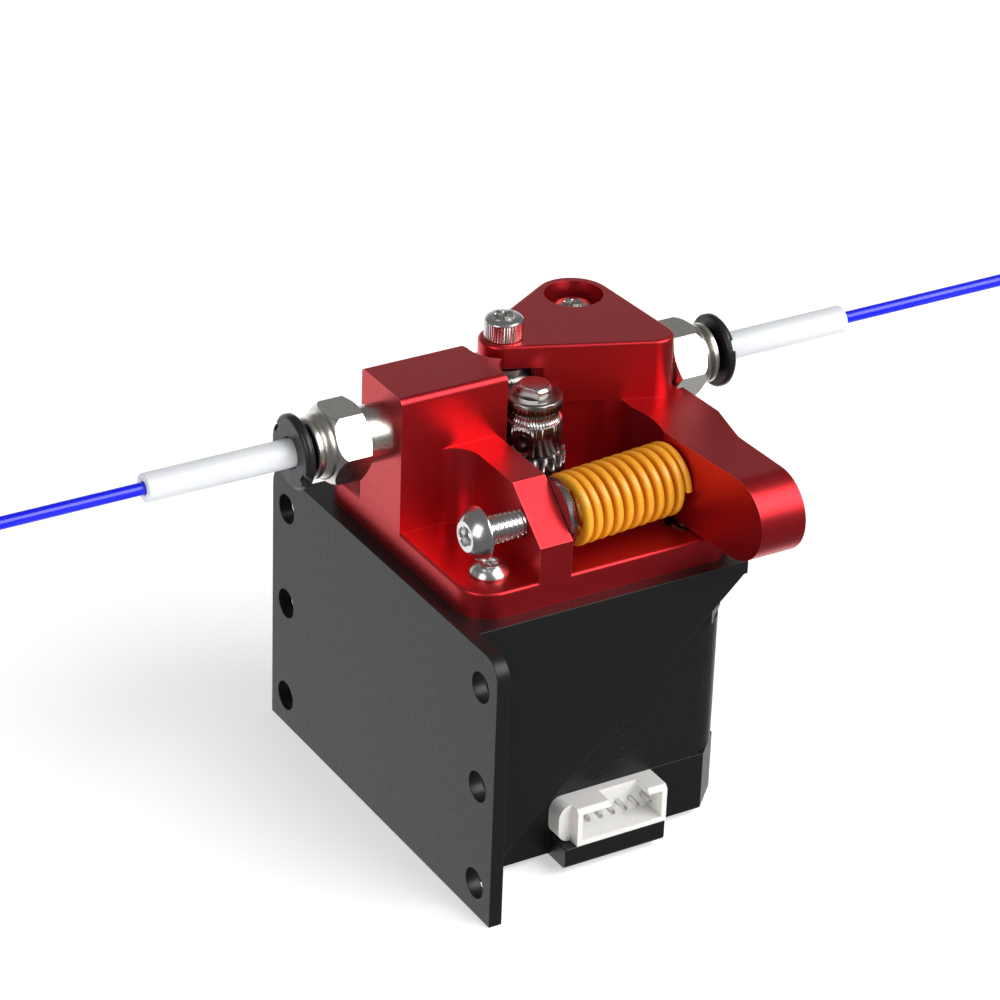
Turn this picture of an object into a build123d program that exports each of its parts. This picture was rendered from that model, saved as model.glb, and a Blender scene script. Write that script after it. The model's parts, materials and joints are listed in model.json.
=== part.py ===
"""Dual-gear filament extruder on a stepper motor and an L-shaped bracket.

Millimetres, +Z up along the motor shaft. The origin is the middle of the bracket's mounting face,
+X points from that face along the filament's way, and +Y is the idler's side.
"""

from build123d import *

import math
import os

os.makedirs("parts", exist_ok=True)

# ---------------------------------------------------------------- driving dimensions

# Bracket
sheet = 2.0
plate_width = 62.8
plate_top = 20.95
plate_drop = 20.2
plate_top_corner = 3.0
plate_bottom_corner = 1.6
bolt_span_y = 54.4
bolt_pitch_z = 15.4
bolt_hole_d = 4.4
gusset_tip = 1.5
shelf_setback = 0.2

# Motor
motor_size = 42.3
motor_length = 38.0
motor_bolt_pitch = 31.0
motor_gap = 0.25
motor_side_gap = 0.1
cap_corner = 4.2
front_cap_length = 8.25
rear_cap_length = 9.05
stack_corner = 6.5
pilot_d = 22.0
pilot_height = 2.0
shaft_d = 5.0
shaft_reach = 23.4
shaft_flat = 2.0
flat_angle = 216.0
rotor_d = 22.0
rotor_air_gap = 0.3
pole_count = 8
bearing_d = 16.0
bearing_width = 5.0

# Extruder base
base_thick = 3.9
base_corner = 5.0
tower_height = 20.15
tower_near_y = -1.0
tower_far_y = 10.05
wall_offset = 11.2
wall_thick = 5.0
wall_height = 11.45
wall_slope_run = 7.65
wall_slope_drop = 6.3
wall_corner = 4.0
shaft_hole_d = 12.0

# Gear pair and filament
gear_teeth = 17
gear_module = 0.5
gear_backlash = 0.34
pressure_angle = 20.0
gear_tip_r = 4.6
gear_root_r = 3.63
hub_r = 4.0
relief_r = 3.5
hob_teeth = 40
hob_tooth_depth = 0.28
teeth_low = 3.65
teeth_height = 4.0
filament_d = 1.75
filament_height = 13.35
nip_clearance = 0.05
nip_gap = 1.6
tooth_clearance = 0.3

# Lever
lever_lift = 0.3
arm_thick = 11.95
head_thick = 8.6
pivot_boss_r = 5.5
axle_boss_r = 3.5
corner_boss_r = 3.0
fork_plate = 3.3
lug_thick = 2.05
lever_open = 8.0
arm_tilt = 5.3
arm_end_y = -33.4
counterbore_d = 8.4
counterbore_depth = 5.2

# Screws and bush
screw_d = 3.0
screw_hole_d = 3.2
cap_head_d = 5.5
cap_head_height = 3.0
button_head_d = 5.6
button_head_height = 1.65
washer_thick = 0.5
washer_d = 7.0
bush_d = 5.0
running_gap = 0.05
axial_gap = 0.1

# Tension spring, its seat and its screw
tension_y = -15.5
tension_height = 6.35
tension_screw_d = 4.0
tension_pitch = 0.7
tension_head_d = 7.6
tension_head_height = 2.3
tension_head_gap = 6.0
seat_thick = 1.0
spring_d = 10.3
spring_turns = 10.5
spring_wire_axial = 1.05
spring_wire_radial = 1.6
spring_start_gap = 0.6

# Push-in fittings and tube
fitting_thread_d = 6.0
fitting_thread_length = 6.5
fitting_neck_d = 8.0
input_neck = 4.1
output_neck = 0.4
hex_flats = 10.0
hex_length = 5.3
barrel_d = 8.7
barrel_length = 2.4
collet_d = 6.4
collet_depth = 3.5
collet_travel_gap = 0.9
collet_cap_d = 10.4
collet_cap_thick = 1.4
tube_d = 4.0
tube_bore_d = 2.0
tube_stop = 0.5
tube_reach_in = 35.05
tube_reach_out = 30.8
filament_in = 84.0
filament_out = 86.0

# Connector
connector_width = 14.4
connector_depth = 4.6
connector_height = 5.8
connector_wall = 0.8
connector_shift = 0.95
connector_back = 1.2
connector_chamfer = 0.55
connector_pins = 6
pin_shift = 1.1
pin_pitch = 2.0
pin_side = 0.5
pin_lift = 0.2
pin_setback = 1.0
window_shift = 2.05
window_width = 6.2
window_depth = 3.2
ear_width = 1.95
ear_depth = 2.8
ear_round = 1.9
ledge_width = 16.1
ledge_round = 0.8
ledge_root = 1.0

# ---------------------------------------------------------------- derived places

motor_half = motor_size / 2
motor_x = sheet + motor_gap + motor_half
motor_bolt = motor_bolt_pitch / 2
motor_face = plate_top - sheet
motor_bottom = motor_face - motor_length
stack_top = motor_face - front_cap_length
stack_bottom = motor_bottom + rear_cap_length
floor_z = plate_top + base_thick
gear_distance = gear_teeth * gear_module
filament_y = gear_distance / 2
filament_z = floor_z + filament_height
lever_bottom = floor_z + lever_lift
arm_top = lever_bottom + arm_thick
head_top = arm_top + head_thick
fork_top = head_top - fork_plate
lug_top = lever_bottom + lug_thick
teeth_bottom = floor_z + teeth_low
pivot_x = motor_x + motor_bolt
pivot_y = motor_bolt
tension_z = floor_z + tension_height
wall_left = motor_x - wall_offset
wall_right = wall_left + wall_thick
wall_top = floor_z + wall_height
base_near_y = -motor_half
base_left_x = motor_x - motor_half
recess_depth = button_head_height + 0.55
hob_groove_r = filament_d / 2 + nip_clearance
drive_clear_r = gear_tip_r + tooth_clearance
motor_bolt_places = [(motor_x + sx * motor_bolt, sy * motor_bolt) for sx in (-1, 1) for sy in (-1, 1)]


def turned_about_pivot(x, y, degrees):
    """The point x, y carried about the lever's pivot by an angle."""
    turn = math.radians(degrees)
    dx = x - pivot_x
    dy = y - pivot_y
    return (
        pivot_x + dx * math.cos(turn) - dy * math.sin(turn),
        pivot_y + dx * math.sin(turn) + dy * math.cos(turn),
    )


def flat_at(height):
    """A horizontal drawing plane at a height, with its origin on the motor's axis."""
    return Plane(origin=(motor_x, 0, height), x_dir=(1, 0, 0), z_dir=(0, 0, 1))


def upright_at(y):
    """A drawing plane across Y whose local x is X and local y is Z."""
    return Plane(origin=(0, y, 0), x_dir=(1, 0, 0), z_dir=(0, -1, 0))


# ---------------------------------------------------------------- bracket

gusset_inner = motor_half + motor_side_gap
gusset_outer = gusset_inner + sheet
shelf_end = motor_x + motor_half - shelf_setback
plate_height = plate_top + plate_drop
plate_middle = (plate_top - plate_drop) / 2

with BuildPart() as bracket:
    with BuildSketch(Plane.YZ):
        with Locations((0, plate_middle)):
            plate = Rectangle(plate_width, plate_height)
        plate_corners = plate.vertices().group_by(Axis.Y)
        fillet(plate_corners[-1], radius=plate_top_corner)
        fillet(plate_corners[0], radius=plate_bottom_corner)
        with GridLocations(bolt_span_y, bolt_pitch_z, 2, 3):
            Circle(bolt_hole_d / 2, mode=Mode.SUBTRACT)
    extrude(amount=sheet)
    with BuildSketch(Plane.XY.offset(plate_top - sheet)):
        with Locations((shelf_end / 2, 0)):
            Rectangle(shelf_end, 2 * gusset_outer)
        with Locations((motor_x, 0)):
            Circle(pilot_d / 2 + 0.2, mode=Mode.SUBTRACT)
        with Locations(*motor_bolt_places):
            Circle(screw_hole_d / 2 + 0.1, mode=Mode.SUBTRACT)
    extrude(amount=sheet)
    for side in (-1, 1):
        near_face = side * gusset_outer if side < 0 else gusset_inner + sheet
        with BuildSketch(upright_at(near_face)):
            with BuildLine():
                Polyline(
                    (0, plate_top),
                    (shelf_end, plate_top),
                    (shelf_end, plate_top - gusset_tip),
                    (sheet, -plate_drop),
                    (0, -plate_drop),
                    close=True,
                )
            make_face()
        extrude(amount=-sheet if side < 0 else sheet)
bracket.part.label = "bracket"
export_step(bracket.part, "parts/bracket.step")

# ---------------------------------------------------------------- extruder base

tower_width = tower_far_y - tower_near_y
tower_top = floor_z + tower_height
tower_block_end = motor_x - 2.6
idler_clear_r = gear_tip_r + 0.95
idler_swing_clear_r = gear_tip_r + 0.45

with BuildPart() as extruder_base:
    with BuildSketch(flat_at(plate_top)):
        RectangleRounded(motor_size, motor_size, base_corner)
    extrude(amount=base_thick)
    fillet(extruder_base.faces().sort_by(Axis.Z)[-1].edges(), radius=0.5)
    # Tower that holds the input fitting
    with BuildSketch(Plane.XY.offset(plate_top)):
        with Locations((base_left_x, tower_near_y)):
            Rectangle(
                tower_block_end - base_left_x, tower_width, align=(Align.MIN, Align.MIN)
            )
    extrude(amount=tower_top - plate_top)
    tower_edges = extruder_base.edges().filter_by_position(Axis.Z, tower_top, tower_top)
    fillet(tower_edges.filter_by(Axis.X).sort_by(Axis.Y)[0], radius=1.0)
    fillet(tower_edges.filter_by(Axis.X).sort_by(Axis.Y)[-1], radius=0.5)
    # Wall that carries the tension screw, with its rounded corner against the tower
    with BuildSketch(Plane.XY.offset(plate_top)):
        with Locations((wall_left, base_near_y)):
            Rectangle(wall_thick, tower_near_y - base_near_y, align=(Align.MIN, Align.MIN))
    extrude(amount=wall_top - plate_top)
    with BuildSketch(Plane.XY.offset(floor_z)):
        with Locations((wall_left, tower_near_y)):
            Rectangle(wall_corner, wall_corner, align=(Align.MAX, Align.MAX))
        with Locations((wall_left - wall_corner, tower_near_y - wall_corner)):
            Circle(wall_corner, mode=Mode.SUBTRACT)
    extrude(amount=wall_height)
    with BuildSketch(Plane.YZ.offset(wall_left - 1)):
        with BuildLine():
            Polyline(
                (base_near_y - 1, wall_top + 1),
                (base_near_y - 1, wall_top - wall_slope_drop),
                (base_near_y, wall_top - wall_slope_drop),
                (base_near_y + wall_slope_run, wall_top),
                (base_near_y + wall_slope_run, wall_top + 1),
                close=True,
            )
        make_face()
    extrude(amount=wall_thick + 2, mode=Mode.SUBTRACT)
    # Room for the gears, with the idler's gear swung open too
    with BuildSketch(flat_at(floor_z)):
        Circle(drive_clear_r)
        with Locations((0, gear_distance)):
            Circle(idler_clear_r)
    extrude(amount=tower_height, mode=Mode.SUBTRACT)
    with BuildSketch(Plane.XY.offset(floor_z)):
        for share in (0.5, 1.0):
            with Locations(turned_about_pivot(motor_x, gear_distance, -lever_open * share)):
                Circle(idler_swing_clear_r)
    extrude(amount=tower_height, mode=Mode.SUBTRACT)
    # Holes: shaft, pilot recess, motor screws, tension screw, filament and fitting
    with BuildSketch(flat_at(plate_top)):
        Circle(shaft_hole_d / 2)
    extrude(amount=base_thick, mode=Mode.SUBTRACT)
    with BuildSketch(flat_at(plate_top)):
        Circle(pilot_d / 2 + 0.3)
    extrude(amount=0.6, mode=Mode.SUBTRACT)
    with BuildSketch(Plane.XY.offset(plate_top)):
        with Locations(*motor_bolt_places):
            Circle(screw_hole_d / 2)
    extrude(amount=base_thick, mode=Mode.SUBTRACT)
    with BuildSketch(Plane.XY.offset(floor_z)):
        with Locations((motor_x + motor_bolt, -motor_bolt)):
            Circle(cap_head_d / 2 + 0.35)
    extrude(amount=-recess_depth, mode=Mode.SUBTRACT)
    with BuildSketch(Plane.YZ.offset(wall_left - 1)):
        with Locations((tension_y, tension_z)):
            Circle(tension_screw_d / 2 + running_gap)
    extrude(amount=wall_thick + 2, mode=Mode.SUBTRACT)
    with BuildSketch(Plane.YZ.offset(base_left_x)):
        with Locations((filament_y, filament_z)):
            Circle(tube_bore_d / 2 + running_gap)
    extrude(amount=motor_size / 2, mode=Mode.SUBTRACT)
    with BuildSketch(Plane.YZ.offset(base_left_x)):
        with Locations((filament_y, filament_z)):
            Circle(fitting_thread_d / 2 + running_gap)
    extrude(amount=fitting_thread_length + 0.5, mode=Mode.SUBTRACT)
extruder_base.part.label = "extruder_base"
export_step(extruder_base.part, "parts/extruder_base.step")

# ---------------------------------------------------------------- lever

# The outline is measured from the motor's axis. The arm's inner face leans by arm_tilt.
corner_x = 18.9
corner_y = 0.3
arm_inner_x = 13.6
arm_inner_y = -11.8
arm_waist_y = -17.5
arm_knee_y = -10.0
arm_end_r = arm_thick / 2
arm_end_inner_x = arm_inner_x + (arm_inner_y - arm_end_y) * math.tan(math.radians(arm_tilt))
pocket_bulge_x = 14.25
pocket_bulge_y = -8.0
pocket_back_x = 11.0
pocket_back_y = 0.9
pocket_back_lean = 22.0
pocket_corner = 6.0
pocket_end_x = -5.0
outlet_x = 22.3
fork_clear_r = gear_tip_r + 0.4
channel_d = 2.1
peg_d = 5.0
peg_length = 3.0
spot_face_gap = 0.3

with BuildPart() as lever:
    # Thumb arm and the body below the head
    with BuildSketch(flat_at(lever_bottom)):
        with BuildLine() as arm_line:
            Polyline(
                (motor_bolt, motor_bolt),
                (motor_bolt + pivot_boss_r, motor_bolt),
                (23.0, 0.8),
                (23.6, arm_knee_y),
                (21.9, arm_waist_y),
                (22.6, arm_end_y),
                (arm_end_inner_x, arm_end_y),
                (arm_inner_x, arm_inner_y),
                (arm_inner_x, 5.0),
                close=True,
            )
        make_face()
        waist = [v for v in arm_line.vertices() if abs(v.Y - arm_waist_y) < 0.01]
        knee = [v for v in arm_line.vertices() if abs(v.Y - arm_knee_y) < 0.01]
        fillet(waist, radius=6.0)
        fillet(knee, radius=2.5)
    extrude(amount=arm_thick)
    with BuildSketch(flat_at(lever_bottom)):
        with Locations((motor_bolt, motor_bolt)):
            Circle(pivot_boss_r)
        with Locations((0, gear_distance)):
            Circle(axle_boss_r)
        with Locations((corner_x, corner_y)):
            Circle(corner_boss_r)
        make_hull()
    extrude(amount=arm_thick)
    # Milled pocket round the drive gear and the rounded thumb end
    with BuildSketch(flat_at(lever_bottom)):
        pocket_end_y = pocket_back_y + (pocket_back_x - pocket_end_x) * math.tan(math.radians(pocket_back_lean))
        with BuildLine():
            ThreePointArc(
                (arm_inner_x, arm_inner_y),
                (pocket_bulge_x, pocket_bulge_y),
                (pocket_back_x, pocket_back_y),
            )
            Polyline(
                (pocket_back_x, pocket_back_y),
                (pocket_end_x, pocket_end_y),
                (pocket_end_x, arm_inner_y),
                (arm_inner_x, arm_inner_y),
            )
        make_face()
        pocket_turn = vertices().sort_by_distance((pocket_back_x, pocket_back_y))[0]
        fillet(pocket_turn, radius=pocket_corner)
    extrude(amount=arm_thick, mode=Mode.SUBTRACT)
    with BuildSketch(Plane.YZ.offset(motor_x)):
        with Locations((arm_end_y, lever_bottom + arm_end_r)):
            Rectangle(2 * arm_end_r, arm_thick + 2)
        with Locations((arm_end_y + arm_end_r, lever_bottom + arm_end_r)):
            Circle(arm_end_r, mode=Mode.SUBTRACT)
    extrude(amount=motor_size, mode=Mode.SUBTRACT)
    # Triangular head
    with BuildSketch(flat_at(arm_top)):
        with Locations((motor_bolt, motor_bolt)):
            Circle(pivot_boss_r)
        with Locations((0, gear_distance)):
            Circle(axle_boss_r)
        with Locations((corner_x, corner_y)):
            Circle(corner_boss_r)
        make_hull()
    extrude(amount=head_thick)
    fillet(lever.faces().sort_by(Axis.Z)[-1].edges(), radius=0.5)
    # Seat for the output fitting, level with its axis
    with BuildSketch(Plane.YZ.offset(motor_x + outlet_x - corner_boss_r)):
        with Locations((filament_y, filament_z)):
            Circle(fitting_neck_d / 2 + 0.5)
    extrude(amount=corner_boss_r)
    # Slot for the idler gear and room for the drive gear
    with BuildSketch(flat_at(lug_top)):
        with Locations((0, gear_distance)):
            Circle(fork_clear_r)
    extrude(amount=fork_top - lug_top, mode=Mode.SUBTRACT)
    with BuildSketch(flat_at(lever_bottom)):
        Circle(drive_clear_r)
    extrude(amount=fork_top - lever_bottom, mode=Mode.SUBTRACT)
    # Pivot bore with its counterbore, axle hole, filament channel and fitting thread
    with BuildSketch(flat_at(lever_bottom)):
        with Locations((motor_bolt, motor_bolt)):
            Circle(bush_d / 2 + running_gap)
        with Locations((0, gear_distance)):
            Circle(screw_d / 2 + running_gap)
    extrude(amount=head_top - lever_bottom, mode=Mode.SUBTRACT)
    with BuildSketch(flat_at(head_top)):
        with Locations((motor_bolt, motor_bolt)):
            Circle(counterbore_d / 2)
    extrude(amount=-counterbore_depth, mode=Mode.SUBTRACT)
    with BuildSketch(Plane.YZ.offset(motor_x)):
        with Locations((filament_y, filament_z)):
            Circle(channel_d / 2)
    extrude(amount=motor_size, mode=Mode.SUBTRACT)
    with BuildSketch(Plane.YZ.offset(motor_x + outlet_x)):
        with Locations((filament_y, filament_z)):
            Circle(fitting_thread_d / 2 + running_gap)
    extrude(amount=-(fitting_thread_length + 0.5), mode=Mode.SUBTRACT)
    # Spot face that lets the fitting's hexagon turn
    with BuildSketch(Plane.YZ.offset(motor_x + outlet_x)):
        with Locations((filament_y, filament_z)):
            Circle(hex_flats / math.sqrt(3) + spot_face_gap)
    extrude(amount=corner_boss_r, mode=Mode.SUBTRACT)

# ---------------------------------------------------------------- spring axis

spring_turn = math.radians(arm_tilt)
seat_face_x = wall_right + axial_gap + seat_thick
spring_start = (seat_face_x + spring_start_gap, tension_y, tension_z)
face_origin_x = motor_x + arm_inner_x
face_lean = math.tan(spring_turn)
spring_run = face_origin_x + (arm_inner_y - tension_y) * face_lean - spring_start[0]
spring_length = spring_run / (math.cos(spring_turn) + math.sin(spring_turn) * face_lean)
spring_plane = Plane(
    origin=spring_start,
    x_dir=(-math.sin(spring_turn), math.cos(spring_turn), 0),
    z_dir=(math.cos(spring_turn), math.sin(spring_turn), 0),
)

# The peg that centres the spring is part of the lever.
with lever:
    with BuildSketch(spring_plane.offset(spring_length - peg_length)):
        Circle(peg_d / 2)
    extrude(amount=peg_length + 1.0)
lever.part.label = "lever"
export_step(lever.part, "parts/lever.step")

spring_mean_r = (spring_d - spring_wire_radial) / 2
spring_coil_length = spring_length - spring_wire_axial - 2 * axial_gap
coil_start = spring_plane.from_local_coords((0, 0, axial_gap + spring_wire_axial / 2))
coil_pitch = spring_coil_length / spring_turns
with BuildPart() as tension_spring:
    with BuildLine() as coil:
        Helix(coil_pitch, spring_coil_length, spring_mean_r, coil_start, spring_plane.z_dir)
    wire_plane = Plane(
        origin=coil.line @ 0,
        x_dir=(coil.line @ 0 - coil_start).normalized(),
        z_dir=coil.line % 0,
    )
    with BuildSketch(wire_plane):
        Rectangle(spring_wire_radial, spring_wire_axial)
    sweep(is_frenet=True)
tension_spring.part.label = "tension_spring"
export_step(tension_spring.part, "parts/tension_spring.step")

# ---------------------------------------------------------------- spring seat and tension screw

seat_spigot_d = spring_d - 2 * spring_wire_radial - 0.6
seat_spigot = 1.2
screw_tip_x = wall_right + axial_gap
thread_start_x = wall_left - tension_head_gap

with BuildPart() as spring_seat:
    with BuildSketch(Plane.YZ.offset(wall_right + axial_gap)):
        with Locations((tension_y, tension_z)):
            Circle(spring_d / 2 - 0.2)
    extrude(amount=seat_thick)
    with BuildSketch(Plane.YZ.offset(seat_face_x)):
        with Locations((tension_y, tension_z)):
            Circle(seat_spigot_d / 2)
    extrude(amount=seat_spigot)
spring_seat.part.label = "spring_seat"
export_step(spring_seat.part, "parts/spring_seat.step")


def thread_profile(radius, start, end, pitch):
    """Points of a ringed thread's edge from start to end, as (along, radius) pairs."""
    depth = 0.54 * pitch
    rings = int((end - start) / pitch)
    points = []
    for ring in range(rings):
        root = start + ring * pitch
        points += [(root, radius - depth), (root + pitch / 2, radius)]
    return points + [(start + rings * pitch, radius - depth), (end, radius - depth)]


tension_axis = Plane(origin=(0, tension_y, tension_z), x_dir=(1, 0, 0), z_dir=(0, -1, 0))
head_x = thread_start_x - tension_head_height

with BuildPart() as tension_screw:
    with BuildSketch(tension_axis):
        with BuildLine():
            Polyline(
                (thread_start_x, 0),
                *thread_profile(tension_screw_d / 2, thread_start_x, screw_tip_x, tension_pitch),
                (screw_tip_x, 0),
                close=True,
            )
        make_face()
        with BuildLine():
            head_r = tension_head_d / 2
            Line((head_x, 0), (head_x, head_r * 0.55))
            ThreePointArc(
                (head_x, head_r * 0.55),
                (head_x + 0.45 * tension_head_height, head_r * 0.88),
                (thread_start_x - 0.3, head_r),
            )
            Polyline((thread_start_x - 0.3, head_r), (thread_start_x, head_r), (thread_start_x, 0), (head_x, 0))
        make_face()
    revolve(axis=Axis((0, tension_y, tension_z), (1, 0, 0)))
    with BuildSketch(Plane(origin=(head_x, tension_y, tension_z), x_dir=(0, 1, 0), z_dir=(1, 0, 0))):
        RegularPolygon(1.25, 6, major_radius=False)
    extrude(amount=1.4, mode=Mode.SUBTRACT)
tension_screw.part.label = "tension_screw"
export_step(tension_screw.part, "parts/tension_screw.step")

# ---------------------------------------------------------------- gears


def spur_outline(phase):
    """Corner points of the spur teeth, with involute flanks, and one tooth centred at phase degrees."""
    pitch_r = gear_teeth * gear_module / 2
    base_r = pitch_r * math.cos(math.radians(pressure_angle))
    half_at_pitch = (math.pi * gear_module / 2 - gear_backlash / 2) / (2 * pitch_r)
    involute_at_pitch = math.tan(math.radians(pressure_angle)) - math.radians(pressure_angle)
    flank = [(gear_root_r, None)]
    steps = 4
    for step in range(steps + 1):
        radius = base_r + (gear_tip_r - base_r) * step / steps
        roll = math.acos(min(1.0, base_r / radius))
        flank.append((radius, half_at_pitch + involute_at_pitch - (math.tan(roll) - roll)))
    flank[0] = (gear_root_r, flank[1][1])
    points = []
    for tooth in range(gear_teeth):
        middle = math.radians(phase + 360 * tooth / gear_teeth)
        rising = [(radius, middle - half) for radius, half in flank]
        falling = [(radius, middle + half) for radius, half in reversed(flank)]
        points += [(r * math.cos(a), r * math.sin(a)) for r, a in rising + falling]
    return points


def hob_outline():
    """Corner points of the fine gripping teeth round the hob."""
    points = []
    for notch in range(hob_teeth):
        peak = 2 * math.pi * notch / hob_teeth
        valley = peak + math.pi / hob_teeth
        low = hub_r - hob_tooth_depth
        points.append((hub_r * math.cos(peak), hub_r * math.sin(peak)))
        points.append((low * math.cos(valley), low * math.sin(valley)))
    return points


relief = 0.5
hob_half = 1.05
hob_groove_wheel_r = gear_distance / 2
drive_bottom = floor_z + 1.15
drive_top = filament_z + 2.65
idler_bottom = lug_top + 0.2
idler_top = fork_top - 0.2
bore_gap = 0.02


def gear_blank(centre_y, bottom, top, phase, bore_r):
    """One toothed and hobbed gear on a vertical axis at centre_y."""
    plane = Plane(origin=(motor_x, centre_y, 0), x_dir=(1, 0, 0), z_dir=(0, 0, 1))
    teeth_top = teeth_bottom + teeth_height
    bands = [
        (bottom, teeth_bottom - relief, hub_r),
        (teeth_bottom - relief, teeth_bottom, relief_r),
        (teeth_top, teeth_top + relief, relief_r),
        (teeth_top + relief, filament_z - hob_half, hub_r),
        (filament_z + hob_half, top, hub_r),
    ]
    with BuildPart() as blank:
        for low, high, radius in bands:
            with BuildSketch(plane.offset(low)):
                Circle(radius)
            extrude(amount=high - low)
        with BuildSketch(plane.offset(teeth_bottom)):
            with BuildLine():
                Polyline(*spur_outline(phase), close=True)
            make_face()
        extrude(amount=teeth_height)
        with BuildSketch(plane.offset(filament_z - hob_half)):
            with BuildLine():
                Polyline(*hob_outline(), close=True)
            make_face()
        extrude(amount=2 * hob_half)
        profile = Plane(origin=(motor_x, centre_y, filament_z), x_dir=(1, 0, 0), z_dir=(0, -1, 0))
        with BuildSketch(profile):
            with Locations((hob_groove_wheel_r, 0)):
                Circle(hob_groove_r)
        revolve(axis=Axis((motor_x, centre_y, 0), (0, 0, 1)), mode=Mode.SUBTRACT)
        with BuildSketch(plane.offset(bottom)):
            Circle(bore_r)
        extrude(amount=top - bottom, mode=Mode.SUBTRACT)
    return blank.part


grub_z = filament_z - 3.3
grub_plane = Plane(
    origin=(motor_x, 0, grub_z),
    x_dir=(0, 0, 1),
    z_dir=(math.cos(math.radians(flat_angle)), math.sin(math.radians(flat_angle)), 0),
)
idler_phase = -90.0 + 180.0 / gear_teeth

with BuildPart() as drive_gear:
    add(gear_blank(0, drive_bottom, drive_top, 90.0, shaft_d / 2 + bore_gap))
    with BuildSketch(grub_plane):
        Circle(screw_d / 2)
    extrude(amount=hub_r + 1, mode=Mode.SUBTRACT)
    chamfer(drive_gear.edges().filter_by_position(Axis.Z, drive_top, drive_top).sort_by(SortBy.RADIUS)[-1], 0.3)
drive_gear.part.label = "drive_gear"
export_step(drive_gear.part, "parts/drive_gear.step")

with BuildPart() as drive_grub_screw:
    with BuildSketch(grub_plane.offset(shaft_flat)):
        Circle(screw_d / 2)
    extrude(amount=hub_r - shaft_flat - 0.25)
    with BuildSketch(grub_plane.offset(hub_r - 0.25)):
        RegularPolygon(0.75, 6, major_radius=False)
    extrude(amount=-0.9, mode=Mode.SUBTRACT)
drive_grub_screw.part.label = "drive_grub_screw"
export_step(drive_grub_screw.part, "parts/drive_grub_screw.step")

idler_bearing_d = 5.0
idler_bearing_length = 4.5

with BuildPart() as idler_gear:
    add(gear_blank(gear_distance, idler_bottom, idler_top, idler_phase, idler_bearing_d / 2))
idler_gear.part.label = "idler_gear"
export_step(idler_gear.part, "parts/idler_gear.step")

idler_bearings = {
    "idler_bearing_lower": idler_bottom + 0.3,
    "idler_bearing_upper": idler_top - 0.3 - idler_bearing_length,
}
for bearing_name, bearing_z in idler_bearings.items():
    with BuildPart() as idler_bearing:
        with BuildSketch(Plane(origin=(motor_x, gear_distance, bearing_z), z_dir=(0, 0, 1))):
            Circle(idler_bearing_d / 2)
            Circle(screw_d / 2 + running_gap, mode=Mode.SUBTRACT)
        extrude(amount=idler_bearing_length)
    idler_bearing.part.label = bearing_name
    export_step(idler_bearing.part, f"parts/{bearing_name}.step")

# ---------------------------------------------------------------- screws


def cap_screw(x, y, head_base, tip, head_d, head_height, socket_d, rounded):
    """One upright screw with a hexagon socket in its head."""
    profile = Plane(origin=(x, y, head_base), x_dir=(1, 0, 0), z_dir=(0, -1, 0))
    with BuildPart() as screw:
        with BuildSketch(Plane(origin=(x, y, tip), z_dir=(0, 0, 1))):
            Circle(screw_d / 2)
        extrude(amount=head_base - tip)
        with BuildSketch(profile):
            with BuildLine():
                if rounded:
                    Line((0, 0), (head_d / 2, 0))
                    Line((head_d / 2, 0), (head_d / 2, 0.2))
                    ThreePointArc(
                        (head_d / 2, 0.2),
                        (head_d * 0.43, head_height * 0.62),
                        (head_d * 0.27, head_height),
                    )
                    Polyline((head_d * 0.27, head_height), (0, head_height), (0, 0))
                else:
                    Polyline(
                        (0, 0),
                        (head_d / 2, 0),
                        (head_d / 2, head_height - head_bevel),
                        (head_d / 2 - head_bevel, head_height),
                        (0, head_height),
                        close=True,
                    )
            make_face()
        revolve(axis=Axis((x, y, 0), (0, 0, 1)))
        with BuildSketch(Plane(origin=(x, y, head_base + head_height), z_dir=(0, 0, 1))):
            RegularPolygon(socket_d / 2, 6, major_radius=False)
        extrude(amount=-0.55 * head_height, mode=Mode.SUBTRACT)
    return screw.part


head_bevel = 0.3
thread_depth = 4.5
base_screw_tip = motor_face - thread_depth + axial_gap
bush_top = head_top - counterbore_depth + axial_gap

with BuildPart() as base_screws:
    for side in (-1, 1):
        add(
            cap_screw(
                motor_x - motor_bolt, side * motor_bolt, floor_z, base_screw_tip,
                button_head_d, button_head_height, 2.0, True,
            )
        )
    add(
        cap_screw(
            motor_x + motor_bolt, -motor_bolt, floor_z - recess_depth, base_screw_tip,
            button_head_d, button_head_height, 2.0, True,
        )
    )
base_screws.part.label = "base_screws"
export_step(base_screws.part, "parts/base_screws.step")

with BuildPart() as pivot_screw:
    add(
        cap_screw(
            pivot_x, pivot_y, bush_top + washer_thick, base_screw_tip,
            cap_head_d, cap_head_height, 2.5, False,
        )
    )
pivot_screw.part.label = "pivot_screw"
export_step(pivot_screw.part, "parts/pivot_screw.step")

with BuildPart() as pivot_washer:
    with BuildSketch(Plane(origin=(pivot_x, pivot_y, bush_top), z_dir=(0, 0, 1))):
        Circle(washer_d / 2)
        Circle(screw_hole_d / 2, mode=Mode.SUBTRACT)
    extrude(amount=washer_thick)
pivot_washer.part.label = "pivot_washer"
export_step(pivot_washer.part, "parts/pivot_washer.step")

with BuildPart() as pivot_bush:
    with BuildSketch(Plane(origin=(pivot_x, pivot_y, floor_z), z_dir=(0, 0, 1))):
        Circle(bush_d / 2)
        Circle(screw_hole_d / 2, mode=Mode.SUBTRACT)
    extrude(amount=bush_top - floor_z)
pivot_bush.part.label = "pivot_bush"
export_step(pivot_bush.part, "parts/pivot_bush.step")

with BuildPart() as idler_axle:
    add(
        cap_screw(
            motor_x, gear_distance, head_top, lever_bottom + axial_gap,
            cap_head_d, cap_head_height, 2.5, False,
        )
    )
idler_axle.part.label = "idler_axle"
export_step(idler_axle.part, "parts/idler_axle.step")

# ---------------------------------------------------------------- push-in fittings and tube


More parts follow.
